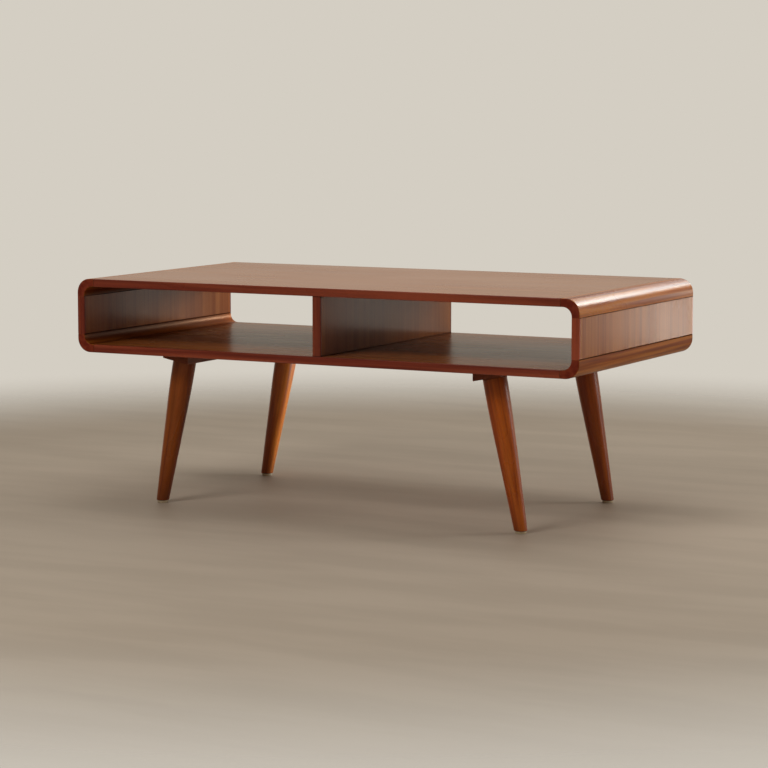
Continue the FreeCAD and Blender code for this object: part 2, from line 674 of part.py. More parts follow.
def make_leg(side, depth_side):
    """Turned leg about its own leaning axis, from the rail down, with its foot cut level."""
    body = new_body(f"{DEPTH_NAMES[depth_side]}_{SIDE_NAMES[side]}_leg",
                    x=times(side, leg_x), y=times(depth_side, leg_y), z=leg_top_z)
    lean = times(-side, "Sizes.leg_splay")
    body.Placement.Rotation = FreeCAD.Rotation(FreeCAD.Vector(0, 1, 0), value(lean))
    body.setExpression("Placement.Rotation.Axis.x", "0")
    body.setExpression("Placement.Rotation.Axis.y", "1")
    body.setExpression("Placement.Rotation.Axis.z", "0")
    body.setExpression("Placement.Rotation.Angle", lean)
    profile = new_sketch(body, "XZ_Plane")
    add_leg_profile(profile)
    turned = body.newObject("PartDesign::Revolution", f"{body.Name}_revolution")
    turned.Profile = profile
    turned.ReferenceAxis = (profile, ["V_Axis"])
    turned.Angle = 360
    doc.recompute()

    level_cut = new_sketch(body, "XY_Plane", tilt=times(side, "Sizes.leg_splay"), z=times(-1, leg_length))
    add_circle(level_cut, "0", "0", "2 * Sizes.leg_top_diameter")
    pocket(body, level_cut, "Sizes.leg_foot_diameter")
    foot_top = value("Sizes.leg_foot_diameter") - value(leg_length)
    dress(body, "Chamfer", lambda edge: edge.BoundBox.ZMax < foot_top, Size="Sizes.leg_foot_chamfer")
    nail = new_sketch(body, "XY_Plane", tilt=times(side, "Sizes.leg_splay"), z=times(-1, leg_length))
    add_circle(nail, "0", "0", nail_hole)
    pocket(body, nail, "Sizes.nail_depth + Sizes.end_room", reverse=True)
    bolt = new_sketch(body, "XY_Plane")
    add_circle(bolt, "0", "0", bolt_hole)
    pocket(body, bolt, "Sizes.bolt_leg_depth + Sizes.end_room")


def make_hanger_bolts():
    """Bolts with one end in a leg and the other in its insert."""
    body = new_body("leg_hanger_bolts")
    for side in (RIGHT, LEFT):
        for length, downwards in (("Sizes.bolt_leg_depth", True), (insert_length, False)):
            circles = leg_sketch(body, side)
            add_leg_circles(circles, "Sizes.bolt_diameter")
            pad(body, circles, length, reverse=downwards)
    chamfer_ends(body, "Sizes.bolt_chamfer")


def make_inserts():
    """Threaded tubes in the rails, flush with their lower faces."""
    body = new_body("leg_bolt_inserts")
    for side in (RIGHT, LEFT):
        rings = leg_sketch(body, side)
        add_leg_circles(rings, "Sizes.insert_diameter")
        add_leg_circles(rings, bolt_hole)
        pad(body, rings, insert_length)


def make_glide(side, depth_side):
    """Round pad under a foot, with a sunk nail hole."""
    body = new_body(f"{DEPTH_NAMES[depth_side]}_{SIDE_NAMES[side]}_glide",
                    x=times(side, foot_x), y=times(depth_side, leg_y))
    disc = new_sketch(body, "XY_Plane")
    add_circle(disc, "0", "0", "Sizes.glide_diameter")
    pad(body, disc, "Sizes.glide_thickness")
    dress(body, "Fillet", lambda edge: is_round(edge) and lies_at(edge, "Z", 0), Radius="Sizes.glide_round")
    shank = new_sketch(body, "XY_Plane")
    add_circle(shank, "0", "0", nail_hole)
    pocket(body, shank, "Sizes.glide_thickness", reverse=True)
    head = new_sketch(body, "XY_Plane")
    add_circle(head, "0", "0", nail_head_hole)
    pocket(body, head, nail_seat_z, reverse=True)


def make_glide_nails():
    body = new_body("glide_nails", z="Sizes.nail_head_recess")
    shank_length = "Sizes.glide_thickness - Sizes.nail_head_recess + Sizes.nail_depth"
    for diameter, length in (("Sizes.nail_diameter", shank_length),
                             ("Sizes.nail_head_diameter", "Sizes.nail_head_thickness")):
        circles = new_sketch(body, "XY_Plane")
        for side in (RIGHT, LEFT):
            for depth_side in (FRONT, BACK):
                add_circle(circles, times(side, foot_x), times(depth_side, leg_y), diameter)
        pad(body, circles, length)
    tip_z = value(shank_length)
    dress(body, "Chamfer", lambda edge: is_round(edge) and lies_at(edge, "Z", tip_z),
          Size=f"{TIP_CHAMFER_SHARE} * Sizes.nail_diameter")


# The whole table

make_top_panel()
make_shelf_panel()
make_divider()
for table_side in (RIGHT, LEFT):
    make_end_panel(table_side)
    make_rail(table_side)
    for case_level in (UPPER, LOWER):
        make_corner(table_side, case_level)
for table_depth_side in (FRONT, BACK):
    face_name = DEPTH_NAMES[table_depth_side]
    make_board_lipping(f"top_{face_name}_lipping", table_depth_side, top_board_bottom)
    make_board_lipping(f"shelf_{face_name}_lipping", table_depth_side, case_bottom)
    make_divider_lipping(table_depth_side)
    for table_side in (RIGHT, LEFT):
        make_end_lipping(table_side, table_depth_side)
        make_leg(table_side, table_depth_side)
        make_glide(table_side, table_depth_side)
make_board_dowels("top_joint_dowels", top_board_bottom)
make_board_dowels("shelf_joint_dowels", case_bottom)
make_end_dowels()
make_divider_dowels()
make_divider_screws()
make_rail_screws()
make_hanger_bolts()
make_inserts()
make_glide_nails()
doc.recompute()

# Checks, then one file for each sub-part
for item in doc.Objects:
    if any(word in item.State for word in ("Invalid", "Error")):
        raise RuntimeError(f"{item.Label} failed: {item.State}")
for body in sub_parts:
    if body.Shape.isNull() or not body.Shape.isValid():
        raise RuntimeError(f"{body.Label} has no valid shape")
os.makedirs("parts", exist_ok=True)
for body in sub_parts:
    body.Shape.exportStep(f"parts/{body.Label}.step")
    print(f"{body.Label}: {len(body.Shape.Solids)} solid(s), {body.Shape.Volume / 1000:.1f} cm3")
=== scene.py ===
import math
from collections import namedtuple

import bmesh
import bpy
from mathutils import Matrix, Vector


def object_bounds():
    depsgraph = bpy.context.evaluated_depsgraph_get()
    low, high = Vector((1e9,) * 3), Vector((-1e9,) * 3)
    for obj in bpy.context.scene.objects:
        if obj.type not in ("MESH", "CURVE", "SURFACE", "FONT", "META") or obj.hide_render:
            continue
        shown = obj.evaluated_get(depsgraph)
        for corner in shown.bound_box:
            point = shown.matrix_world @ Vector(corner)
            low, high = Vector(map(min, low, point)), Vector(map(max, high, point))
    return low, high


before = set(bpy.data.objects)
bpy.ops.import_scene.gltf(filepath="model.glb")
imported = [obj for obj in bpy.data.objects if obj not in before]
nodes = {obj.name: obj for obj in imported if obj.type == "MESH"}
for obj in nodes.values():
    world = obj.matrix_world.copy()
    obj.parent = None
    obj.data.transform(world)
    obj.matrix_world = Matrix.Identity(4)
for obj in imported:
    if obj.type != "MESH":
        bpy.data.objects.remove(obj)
cad_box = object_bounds()

# The screen's tone curve, with its straight toe near black
FULL_CHANNEL = 255.0
TOE_END = 0.04045
TOE_SLOPE = 12.92
CURVE_OFFSET = 0.055
CURVE_POWER = 2.4


def linear(channel):
    """One 0 to 255 screen channel as a linear share of light."""
    share = channel / FULL_CHANNEL
    if share <= TOE_END:
        return share / TOE_SLOPE
    return ((share + CURVE_OFFSET) / (1.0 + CURVE_OFFSET)) ** CURVE_POWER


def colour(red, green, blue):
    """A screen colour as the linear colour that a shader takes."""
    return (linear(red), linear(green), linear(blue), 1.0)


# Lengths are in metres, angles in radians and powers in watts, unless the name says otherwise
SIDES = ("left", "right")
ENDS = ("front", "back")
TABLE_HEIGHT = cad_box[1].z
LEG_LEAN = math.radians(11.0)

# The camera: its place, how far it looks down and is turned to the left, and its lens
CAMERA_PLACE = (2.4555, -4.6575, 0.8418)
CAMERA_PITCH = 0.1135
CAMERA_TURN = 0.4856
CAMERA_LENS_MM = 123.01
CAMERA_SENSOR_MM = 36.0

# The floor: a disc in two close tones that turns clear between two distances from the table's middle
FLOOR_RADIUS = 7.0
FLOOR_SIDES = 128
FLOOR_FADE = (1.3, 2.6)
FLOOR_TONES = (colour(184, 172, 157), colour(192, 180, 165))
FLOOR_CLOUD_LENGTH = 0.5
FLOOR_CLOUD_WIDTH = 0.12
FLOOR_CLOUD_RANGE = (0.35, 0.65)
FLOOR_ROUGHNESS = 0.6

# The backdrop: its colour to the camera, and the light it gives all round and from behind the table,
# which comes in between two cosines of the angle to the rear
BACKDROP_SEEN = colour(212, 206, 195)
BACKDROP_LIGHT = colour(255, 242, 222)
EVEN_LIGHT = 0.15
REAR_LIGHT = 0.47
REAR_DIRECTION = (-0.2, 0.98, 0.0)
REAR_RANGE = (0.2, 0.9)

# Points that several lights face, and tints that several lights share
TABLE_MIDDLE = (0.0, 0.0, TABLE_HEIGHT / 2)
TOP_RIGHT_CORNER = (0.5, 0.0, TABLE_HEIGHT)
CREAM = (1.0, 0.93, 0.82)
PALE_GREEN = (0.93, 0.98, 0.95)
SOFT_WHITE = (1.0, 0.95, 0.9)
WARM_WHITE = (1.0, 0.94, 0.87)

# The lights: size is across and up, and a light with pieces is flagged off all other nodes
Softbox = namedtuple("Softbox", "place target size power tint pieces", defaults=[()])
SOFTBOXES = {
    "back_softbox": Softbox(
        place=(1.3, 3.0, 1.78), target=TOP_RIGHT_CORNER, size=(0.8, 0.6), power=24.0,
        tint=(0.95, 1.0, 0.96), pieces=["corner_top_right"]),
    "back_middle_softbox": Softbox(
        place=(0.65, 3.0, 1.78), target=TOP_RIGHT_CORNER, size=(0.5, 0.6), power=6.2,
        tint=PALE_GREEN, pieces=["corner_top_right"]),
    "back_left_softbox": Softbox(
        place=(0.05, 3.0, 1.72), target=TOP_RIGHT_CORNER, size=(0.7, 0.6), power=2.6,
        tint=PALE_GREEN, pieces=["corner_top_right"]),
    "card_softbox": Softbox(
        place=(0.78, 0.75, 0.33), target=(0.64, 0.0, 0.35), size=(0.15, 0.14), power=0.33,
        tint=CREAM, pieces=["right_end_panel", "right_end_back_lipping"]),
    "corner_card": Softbox(
        place=(0.76, 0.75, 0.44), target=(0.54, 0.1, 0.43), size=(0.16, 0.1), power=0.13,
        tint=CREAM, pieces=["corner_top_right"]),
    "left_bay_card": Softbox(
        place=(-0.05, 0.75, 0.33), target=(-0.53, 0.0, 0.37), size=(0.2, 0.14), power=0.09,
        tint=(1.0, 0.82, 0.7), pieces=["left_end_panel"]),
    "right_bay_card": Softbox(
        place=(0.42, 0.75, 0.33), target=(0.0, 0.0, 0.37), size=(0.26, 0.14), power=0.075,
        tint=(1.0, 0.86, 0.76), pieces=["centre_divider"]),
    "cove_card": Softbox(
        place=(-0.38, 0.5, 0.396), target=(-0.53, 0.25, 0.33), size=(0.08, 0.06), power=0.65,
        tint=(1.0, 0.57, 0.33), pieces=["corner_bottom_left"]),
    "low_softbox": Softbox(
        place=(1.2, 1.3, 0.7), target=(-0.5, 0.2, 0.36), size=(0.4, 0.3), power=15.0,
        tint=SOFT_WHITE, pieces=["left_end_panel", "left_end_back_lipping"]),
    "rim_softbox": Softbox(
        place=(0.45, 1.3, 1.0), target=(-0.4, 0.2, 0.12), size=(0.5, 0.5), power=18.0,
        tint=(0.65, 1.0, 1.3), pieces=["back_left_leg", "back_left_glide"]),
    "rim_low_card": Softbox(
        place=(0.45, 1.3, 0.12), target=(-0.4, 0.2, 0.08), size=(0.5, 0.16), power=10.0,
        tint=(0.85, 1.0, 1.15), pieces=["back_left_leg"]),
    "left_leg_card": Softbox(
        place=(0.3, 0.45, 0.15), target=(-0.4, 0.2, 0.2), size=(0.45, 0.4), power=5.5,
        tint=(0.78, 1.15, 1.4), pieces=["back_left_leg"]),
    "right_leg_card": Softbox(
        place=(1.25, 0.6, 0.2), target=(0.4, 0.1, 0.2), size=(0.2, 0.4), power=0.3,
        tint=(0.8, 1.0, 1.1), pieces=["back_right_leg", "front_right_leg"]),
    "right_back_softbox": Softbox(
        place=(3.0, 1.9, 1.2), target=TABLE_MIDDLE, size=(1.2, 1.2), power=32.0, tint=WARM_WHITE),
    "right_softbox": Softbox(
        place=(3.2, 0.2, 1.3), target=TABLE_MIDDLE, size=(1.2, 1.2), power=3.0, tint=WARM_WHITE),
    "front_softbox": Softbox(
        place=(-0.7, -3.0, 2.9), target=TABLE_MIDDLE, size=(1.4, 1.1), power=38.0, tint=WARM_WHITE),
    "overhead_softbox": Softbox(
        place=(0.2, 0.4, 3.0), target=TABLE_MIDDLE, size=(2.2, 1.6), power=22.0, tint=SOFT_WHITE),
}

# Each piece's pattern is moved by its own chance share of this step
PATTERN_STEP = (5.1, 3.7, 7.3)

# How edges, creases and end faces are found: rays per sample, and the cosines of the surface's turn
# from a flat face to a sharp edge, and from a slanting face to one across the grain
EDGE_SAMPLES = 6
CREASE_SAMPLES = 6
EDGE_RANGE = (0.995, 0.8)
FACING_RANGE = (0.75, 0.95)

# The mix node's colour sockets, by number because their names repeat
MIX_SHARE = 0
MIX_FIRST = 6
MIX_SECOND = 7
MIX_RESULT = 2

# Wood: the noise levels between which each kind of mark comes in, and the edges lightened partly as wear
# and partly as painted highlight
BAND_RANGE = (0.34, 0.66)
STREAK_RANGE = (0.36, 0.64)
FINE_RANGE = (0.3, 0.7)
PORE_RANGE = (0.58, 0.72)
LINE_RANGE = (0.52, 0.66)
STRETCH_RANGE = (0.38, 0.62)
WEAR_AND_HIGHLIGHT_RADIUS = 0.0018
WEAR_AND_HIGHLIGHT_RANGE = (0.3, 0.75)
WEAR_AND_HIGHLIGHT_SHARES = (0.1, 0.55)

# Cut ends of the wood: cloudy stain and the dots of the fibres
END_CLOUD_SIZE = 0.012
END_CLOUD_RANGE = (0.35, 0.65)
FIBRE_SIZE = 0.0008
FIBRE_RANGE = (0.6, 0.72)
FIBRE_SHARE = 0.5

# Painted shade in the creases of the wood: how far around a point it is felt, and how open it is there.
# The painted seam shade shows in full outside the case and less inside it
INSIDE_SHADE_REACH = 0.12
SEAM_REACH = 0.003
SEAM_RANGE = (0.65, 0.96)
SEAM_SHARES = (1.0, 0.35)

# Lacquer: its clouds, how far they change the roughness, its dullness in seams, and the pores' depth
CLOUD_LENGTH = 0.3
CLOUD_WIDTH = 0.12
CLOUD_RANGE = (0.3, 0.7)
CLOUD_STEP = 0.015
SEAM_DULL_RANGE = (0.0, 0.6)
SEAM_ROUGHNESS = 1.0
PORE_DEPTH = 0.00006

# Tones of painted shade inside the case and in the coves of the corners, the tone of dark lines, and
# painted shade in seams
INSIDE_SHADE_TONE = colour(84, 38, 14)
COVE_SHADE_TONE = colour(70, 31, 12)
LINE_TONE = colour(120, 56, 16)
SEAM_SHADE_TONE = colour(20, 8, 5)

# Wood figures: lengths and widths of the marks, how strongly each shows, and the painted shade inside
# the case
PAINTED_INSIDE_SHADE = {"inside_shade_share": 0.7, "inside_shade_range": (0.3, 0.8), "inside_shade_tone": INSIDE_SHADE_TONE}
VENEER = dict(PAINTED_INSIDE_SHADE, band_length=0.9, band_width=0.022, streak_length=0.5, streak_width=0.005,
              streak_share=0.5, contrast=0.07, pore_length=0.016, pore_width=0.0006, pore_share=0.5)
PLAIN_VENEER = dict(VENEER, streak_share=0.8, contrast=0.03, pore_share=0.15)
LINED_VENEER = dict(VENEER, streak_share=0.6, contrast=0.08, pore_share=0.3, line_length=0.4,
                    line_width=0.0016, stretch_length=0.9, stretch_width=0.05, line_share=0.55)
SOLID = dict(PAINTED_INSIDE_SHADE, band_length=0.5, band_width=0.018, streak_length=0.3, streak_width=0.004,
             streak_share=0.4, contrast=0.14, pore_length=0.012, pore_width=0.0006, pore_share=0.5)
# The corners take the darker painted cove shade in full
CORNER_FIGURE = dict(SOLID, band_width=0.012, inside_shade_share=1.0, inside_shade_range=(0.5, 0.9),
                     inside_shade_tone=COVE_SHADE_TONE)
LEG_FIGURE = dict(SOLID, band_length=0.45, band_width=0.016, streak_length=0.25, contrast=0.16)
BEECH = dict(PAINTED_INSIDE_SHADE, band_length=0.08, band_width=0.004, streak_length=0.04, streak_width=0.0015,
             streak_share=0.4, contrast=0.1, pore_length=0.003, pore_width=0.0004, pore_share=0.6)

# Wood tones, each from four screen colours, the last for edges lightened as wear and painted highlight
Tones = namedtuple("Tones", "dark middle light worn")


def stain(*screen_colours):
    """The four tones of one wood, from its screen colours."""
    return Tones(*[colour(*screen_colour) for screen_colour in screen_colours])


BOARD_TONES = stain((150, 84, 40), (164, 96, 46), (176, 108, 52), (196, 132, 80))
END_TONES = stain((144, 76, 30), (161, 93, 45), (179, 112, 58), (196, 132, 80))
EDGE_TONES = stain((124, 46, 30), (148, 64, 42), (168, 82, 54), (186, 104, 70))
CORNER_TONES = stain((136, 58, 14), (166, 84, 22), (200, 122, 44), (206, 132, 60))
LEG_TONES = stain((126, 52, 10), (150, 70, 16), (170, 88, 24), (184, 106, 46))
RAIL_TONES = stain((118, 56, 30), (134, 66, 36), (148, 78, 44), (160, 94, 58))
DOWEL_TONES = stain((196, 160, 116), (208, 174, 130), (220, 188, 146), (228, 200, 162))

# Finishes: how rough, how much rougher in the pores, how deep these show, and how strong the shine is
Gloss = namedtuple("Gloss", "roughness pore_dullness bump specular")
SMOOTH = Gloss(roughness=0.26, pore_dullness=0.0, bump=0.015, specular=0.4)
SATIN = Gloss(roughness=0.17, pore_dullness=0.0, bump=0.01, specular=0.2)
SHELF_SATIN = Gloss(roughness=0.27, pore_dullness=0.0, bump=0.01, specular=0.08)
EGGSHELL = Gloss(roughness=0.27, pore_dullness=0.0, bump=0.03, specular=0.11)
POLISHED = Gloss(roughness=0.28, pore_dullness=0.04, bump=0.08, specular=0.35)
SOFT = Gloss(roughness=0.28, pore_dullness=0.04, bump=0.06, specular=0.16)
DULL = Gloss(roughness=0.32, pore_dullness=0.04, bump=0.06, specular=0.1)
MATT = Gloss(roughness=0.45, pore_dullness=0.05, bump=0.15, specular=0.25)
BARE = Gloss(roughness=0.62, pore_dullness=0.1, bump=0.4, specular=0.3)

# How light the upright edges are beside the edge tones, partly tone that differs between pieces and
# partly painted light and shade; the upper and lower corners beside the corner tones, the lower ones
# darker as painted shade, with their finish; and each leg beside the leg tones, partly its own tone and
# partly painted light
EDGE_TONE_AND_PAINTED_LIGHT = {"divider": 0.8, "left_end": 1.0, "right_end": 1.2}
CORNER_PAINTED_SHADES_AND_FINISHES = {"top": (1.0, SOFT), "bottom": (0.84, DULL)}
LEG_TONE_AND_PAINTED_LIGHT = {"front_left": 0.88, "back_left": 1.2, "front_right": 1.6, "back_right": 1.15}

# Metal: stains that dull it and how much smoother it is where clean, drawing marks, edges rubbed
# bright, and the tones of zinc and brass
STAIN_SIZE = 0.006
STAIN_RANGE = (0.45, 0.75)
STAIN_SHARE = 0.7
STAIN_DULL_RANGE = (0.3, 0.75)
CLEAN_POLISH = 0.08
STAIN_DULLNESS = 0.14
DRAWN_LENGTH = 0.012
DRAWN_WIDTH = 0.0005
DRAWN_BUMP = 0.2
DRAWN_DEPTH = 0.00005
RUBBED_RADIUS = 0.0006
RUBBED_SHARE = 0.5
RUBBED_TONE = colour(235, 232, 225)
ZINC_TONE = colour(178, 178, 176)
ZINC_STAIN = colour(128, 128, 130)
ZINC_ROUGHNESS = 0.32
BRASS_TONE = colour(206, 168, 92)
BRASS_STAIN = colour(150, 112, 56)
BRASS_ROUGHNESS = 0.3

# Plastic: the fine texture of the mould, scuffs on faces and rims, and the tones of nylon
MOULD_SIZE = 0.0008
MOULD_RANGE = (0.3, 0.7)
MOULD_ROUGHNESS = (0.42, 0.58)
MOULD_BUMP = 0.3
MOULD_DEPTH = 0.00008
SCUFF_SIZE = 0.01
SCUFF_RANGE = (0.35, 0.7)
SCUFF_SHARE = 0.5
RIM_RADIUS = 0.0012
RIM_SHARE = 0.4
NYLON_TONE = colour(206, 190, 160)
NYLON_SCUFF = colour(176, 158, 130)


class Graph:
    """A node graph, built one node at a time."""

    def __init__(self, tree):
        self.tree = tree

    def feed(self, socket, value):
        """Links a socket to the input, or sets the input's own value."""
        if isinstance(value, bpy.types.NodeSocket):
            self.tree.links.new(value, socket)
        else:
            socket.default_value = value

    def node(self, kind, settings=None, inputs=None):
        """A new node with its settings and what feeds its inputs."""
        made = self.tree.nodes.new("ShaderNode" + kind)
        for key, value in (settings or {}).items():
            setattr(made, key, value)
        for key, value in (inputs or {}).items():
            self.feed(made.inputs[key], value)
        return made

    def multiply(self, first, second):
        inputs = {0: first, 1: second}
        return self.node("Math", {"operation": "MULTIPLY"}, inputs).outputs[0]

    def dot(self, first, second):
        inputs = {0: first, 1: second}
        return self.node("VectorMath", {"operation": "DOT_PRODUCT"}, inputs).outputs["Value"]

    def spread(self, value, low, high, to_low=0.0, to_high=1.0):
        """Maps low..high smoothly to to_low..to_high and holds the ends."""
        inputs = {"Value": value, "From Min": low, "From Max": high, "To Min": to_low, "To Max": to_high}
        return self.node("MapRange", {"interpolation_type": "SMOOTHSTEP"}, inputs).outputs["Result"]

    def blend(self, share, first, second, mode="MIX"):
        """The first colour with a share of the second one blended in."""
        settings = {"data_type": "RGBA", "blend_type": mode, "clamp_factor": True}
        inputs = {MIX_SHARE: share, MIX_FIRST: first, MIX_SECOND: second}
        return self.node("Mix", settings, inputs).outputs[MIX_RESULT]

    def noise(self, place, detail=3.0, roughness=0.5, distortion=0.0):
        inputs = {"Vector": place, "Scale": 1.0, "Detail": detail, "Roughness": roughness,
                  "Distortion": distortion}
        return self.node("TexNoise", None, inputs).outputs["Fac"]

    def own_place(self):
        """Object coordinates, moved by a different step for each piece, so that no two look alike."""
        place = self.node("TexCoord").outputs["Object"]
        chance = self.node("ObjectInfo").outputs["Random"]
        inputs = {0: chance, 1: PATTERN_STEP, 2: place}
        return self.node("VectorMath", {"operation": "MULTIPLY_ADD"}, inputs).outputs["Vector"]

    def stretched(self, place, axis, long, short, lean=0.0):
        """Coordinates measured in mark lengths along the axis and mark widths across it."""
        sizes = [short, short, short]
        sizes["XYZ".index(axis)] = long
        inputs = {"Vector": place, "Rotation": (0.0, lean, 0.0), "Scale": sizes}
        return self.node("Mapping", {"vector_type": "TEXTURE"}, inputs).outputs["Vector"]

    def even(self, place, size):
        """Coordinates measured in mark sizes, the same along every axis."""
        return self.stretched(place, "Z", size, size)

    def edge_share(self, radius):
        """1 on sharp edges of the piece, falling to 0 at the radius."""
        rounded = self.node("Bevel", {"samples": EDGE_SAMPLES}, {"Radius": radius}).outputs["Normal"]
        flat = self.node("NewGeometry").outputs["Normal"]
        return self.spread(self.dot(rounded, flat), *EDGE_RANGE)

    def facing_share(self, axis):
        """1 where the surface faces along the axis, to either side."""
        normal = self.node("NewGeometry").outputs["Normal"]
        part = self.node("SeparateXYZ", None, {"Vector": normal}).outputs[axis]
        size = self.node("Math", {"operation": "ABSOLUTE"}, {0: part}).outputs[0]
        return self.spread(size, *FACING_RANGE)

    def crease_share(self, distance, low, high):
        """1 where less than the low share of the space within the distance is open, 0 above the high."""
        inputs = {"Distance": distance}
        open_share = self.node("AmbientOcclusion", {"samples": CREASE_SAMPLES}, inputs).outputs["AO"]
        return self.spread(open_share, high, low)

    def bump(self, height, strength, distance):
        inputs = {"Height": height, "Strength": strength, "Distance": distance}
        return self.node("Bump", None, inputs).outputs["Normal"]


def new_material(name):
    """A new material with its graph and its shader."""
    material = bpy.data.materials.new(name)
    material.use_nodes = True
    graph = Graph(material.node_tree)
    return material, graph, material.node_tree.nodes["Principled BSDF"]


def grain_marks(graph, place, axis, figure, kind, lean=0.0, **look):
    """Noise drawn out along the grain, as long and wide as the figure says for one kind of mark."""
    long = figure[f"{kind}_length"]
    short = figure[f"{kind}_width"]
    return graph.noise(graph.stretched(place, axis, long, short, lean), **look)


def dark_lines(graph, place, axis, figure):
    """How far the fine dark lines of the veneer show: many in some stretches, few in others."""
    lines = graph.spread(grain_marks(graph, place, axis, figure, "line", detail=2.0), *LINE_RANGE)
    stretches = graph.spread(grain_marks(graph, place, axis, figure, "stretch"), *STRETCH_RANGE)
    return graph.multiply(graph.multiply(lines, stretches), figure["line_share"])


def wood_figure(graph, place, axis, tones, figure, lean):
    """The tone of the figured wood, the noise of its streaks, and where its pores are."""
    bands = grain_marks(graph, place, axis, figure, "band", lean, detail=2.0, distortion=0.6)
    streaks = grain_marks(graph, place, axis, figure, "streak", lean, roughness=0.6)
    pores = graph.spread(grain_marks(graph, place, axis, figure, "pore", lean, detail=1.0), *PORE_RANGE)
    tone = graph.blend(graph.spread(bands, *BAND_RANGE), tones.dark, tones.light)
    share = graph.spread(streaks, *STREAK_RANGE, 0.0, figure["streak_share"])
    tone = graph.blend(share, tone, tones.middle)
    fine = graph.spread(streaks, *FINE_RANGE, 1.0 - figure["contrast"], 1.0 + figure["contrast"])
    tone = graph.blend(1.0, tone, fine, "MULTIPLY")
    tone = graph.blend(graph.multiply(pores, figure["pore_share"]), tone, tones.dark)
    if "line_share" in figure:
        tone = graph.blend(dark_lines(graph, place, axis, figure), tone, LINE_TONE)
    return tone, streaks, pores


def end_grain(graph, place, tones):
    """Cut fibre ends: fine dark pores on a dense tone that takes more stain."""
    dots = graph.noise(graph.even(place, FIBRE_SIZE), detail=1.0)
    clouds = graph.noise(graph.even(place, END_CLOUD_SIZE), detail=2.0)
    tone = graph.blend(graph.spread(clouds, *END_CLOUD_RANGE), tones.dark, tones.middle)
    return graph.blend(graph.spread(dots, *FIBRE_RANGE, 0.0, FIBRE_SHARE), tone, tones.dark)


def crease_shaded(graph, tone, figure):
    """The tone darkened with painted shade inside the case and in the seams, and how far a point is in a
    seam.
    """
    # Painted shade: the tone darkens where little of the space around a point is open, inside the case
    # and in the coves
    inside = graph.crease_share(INSIDE_SHADE_REACH, *figure["inside_shade_range"])
    tone = graph.blend(graph.multiply(inside, figure["inside_shade_share"]), tone, figure["inside_shade_tone"])
    # Painted shade: a near-black tone in seams and grooves where they are closed in; the same mask makes
    # the lacquer rougher there
    seam = graph.crease_share(SEAM_REACH, *SEAM_RANGE)
    seam = graph.multiply(seam, graph.spread(inside, 0.0, 1.0, *SEAM_SHARES))
    return graph.blend(seam, tone, SEAM_SHADE_TONE), seam


def lacquer(graph, shader, place, axis, gloss, pores, seam):
    """Gives the shader a cloudy shine, duller in pores and seams, with the pores as fine dents."""
    clouds = graph.noise(graph.stretched(place, axis, CLOUD_LENGTH, CLOUD_WIDTH), detail=2.0)
    smooth = gloss.roughness - CLOUD_STEP
    rough = graph.spread(clouds, *CLOUD_RANGE, smooth, gloss.roughness + CLOUD_STEP)
    dullness = graph.multiply(pores, gloss.pore_dullness)
    rough = graph.node("Math", {"operation": "ADD"}, {0: rough, 1: dullness}).outputs[0]
    graph.feed(shader.inputs["Roughness"], graph.spread(seam, *SEAM_DULL_RANGE, rough, SEAM_ROUGHNESS))
    dents = graph.multiply(pores, -1.0)
    graph.feed(shader.inputs["Normal"], graph.bump(dents, gloss.bump, PORE_DEPTH))
    shader.inputs["Specular IOR Level"].default_value = gloss.specular


def wood(name, axis, tones, figure, gloss, lean=0.0, end_tones=None):
    """Lacquered wood: broad bands, streaks and pores along one axis, edges lightened as wear and painted
    highlight, and seams and the inside of the case darkened as painted shade.
    """
    material, graph, shader = new_material(name)
    place = graph.own_place()
    tone, streaks, pores = wood_figure(graph, place, axis, tones, figure, lean)
    if end_tones:
        tone = graph.blend(graph.facing_share(axis), tone, end_grain(graph, place, end_tones))
    # Edges lightened toward the fourth tone: partly wear, partly a painted highlight on the arrises
    rubbed = graph.spread(streaks, *WEAR_AND_HIGHLIGHT_RANGE, *WEAR_AND_HIGHLIGHT_SHARES)
    tone = graph.blend(graph.multiply(graph.edge_share(WEAR_AND_HIGHLIGHT_RADIUS), rubbed), tone, tones.worn)
    tone, seam = crease_shaded(graph, tone, figure)
    graph.feed(shader.inputs["Base Color"], tone)
    lacquer(graph, shader, place, axis, gloss, pores, seam)
    return material


def metal(name, tone, stained, roughness):
    """Plain metal with faint drawing marks, dull stains and rubbed edges."""
    material, graph, shader = new_material(name)
    place = graph.own_place()
    stains = graph.noise(graph.even(place, STAIN_SIZE), detail=4.0, roughness=0.65)
    marks = graph.noise(graph.stretched(place, "Z", DRAWN_LENGTH, DRAWN_WIDTH), detail=2.0)
    surface = graph.blend(graph.spread(stains, *STAIN_RANGE, 0.0, STAIN_SHARE), tone, stained)
    rubbed = graph.multiply(graph.edge_share(RUBBED_RADIUS), RUBBED_SHARE)
    graph.feed(shader.inputs["Base Color"], graph.blend(rubbed, surface, RUBBED_TONE))
    clean = roughness - CLEAN_POLISH
    rough = graph.spread(stains, *STAIN_DULL_RANGE, clean, roughness + STAIN_DULLNESS)
    graph.feed(shader.inputs["Roughness"], rough)
    graph.feed(shader.inputs["Normal"], graph.bump(marks, DRAWN_BUMP, DRAWN_DEPTH))
    shader.inputs["Metallic"].default_value = 1.0
    return material


